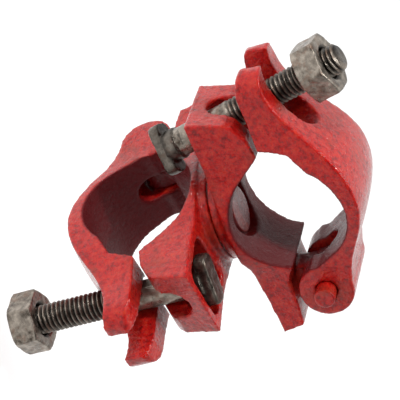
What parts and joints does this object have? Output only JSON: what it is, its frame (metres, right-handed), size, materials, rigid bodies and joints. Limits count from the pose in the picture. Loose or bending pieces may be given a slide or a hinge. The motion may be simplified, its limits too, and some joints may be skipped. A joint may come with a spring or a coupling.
{
  "type": "scaffold coupler clamp",
  "caption": "Swivel coupler that clamps two scaffold tubes across each other, with a hinged flap, T-bolt and nut on each forged half.",
  "frame": {"origin": "on the axis of the upper tube seat, at the middle of its width, above the swivel rivet", "axes": "+Y along the upper tube seat, +Z along the swivel rivet from the lower half to the upper half, +X towards the upper half's bolt"},
  "size_m": [0.1197, 0.1216, 0.1652],
  "materials": {
    "red_enamel": "gloss enamel over rough forging",
    "rivet_paint": "worn dark red paint",
    "black_steel": "oxidised steel"
  },
  "bodies": {
    "half_a": {"base_a": "red_enamel", "swivel_rivet": "rivet_paint", "hinge_pin_a": "red_enamel"},
    "flap_a": {"flap_a": "red_enamel"},
    "t_bolt_a": {"t_bolt_a": "black_steel"},
    "nut_a": {"nut_a": "black_steel"},
    "half_b": {"base_b": "red_enamel", "hinge_pin_b": "red_enamel"},
    "flap_b": {"flap_b": "red_enamel"},
    "t_bolt_b": {"t_bolt_b": "black_steel"},
    "nut_b": {"nut_b": "black_steel"}
  },
  "joints": [
    {"name": "swivel", "type": "hinge", "parent": "half_a", "child": "half_b", "pos_m": [0, 0, -0.0314], "axis": [0, 0, 1], "range_deg": [-45, 16]},
    {"name": "flap_a_hinge", "type": "hinge", "parent": "half_a", "child": "flap_a", "pos_m": [-0.0384, 0, 0.0021], "axis": [0, -1, 0], "range_deg": [0, 7.2]},
    {"name": "t_bolt_a_slide", "type": "slide", "parent": "half_a", "child": "t_bolt_a", "axis": [0.2334, 0, 0.9724], "range_m": [0, 0.01]},
    {"name": "nut_a_travel", "type": "slide", "parent": "t_bolt_a", "child": "nut_a", "axis": [0.2334, 0, 0.9724], "range_m": [-0.008, 0.004]},
    {"name": "flap_b_hinge", "type": "hinge", "parent": "half_b", "child": "flap_b", "pos_m": [0.00909, -0.03731, -0.0649], "axis": [-0.9715, -0.2368, 0], "range_deg": [0, 27]},
    {"name": "t_bolt_b_swing", "type": "hinge", "parent": "half_b", "child": "t_bolt_b", "pos_m": [-0.00883, 0.03624, -0.0414], "axis": [0.9715, 0.2368, 0], "range_deg": [0, 38]},
    {"name": "nut_b_travel", "type": "slide", "parent": "t_bolt_b", "child": "nut_b", "axis": [0, 0, -1], "range_m": [-0.016, 0]}
  ],
  "couplings": [
    {"joint": "flap_a_hinge", "follows": "t_bolt_a_slide", "rad_per_m": 12.5},
    {"joint": "flap_b_hinge", "follows": "t_bolt_b_swing", "ratio": 0.7}
  ]
}
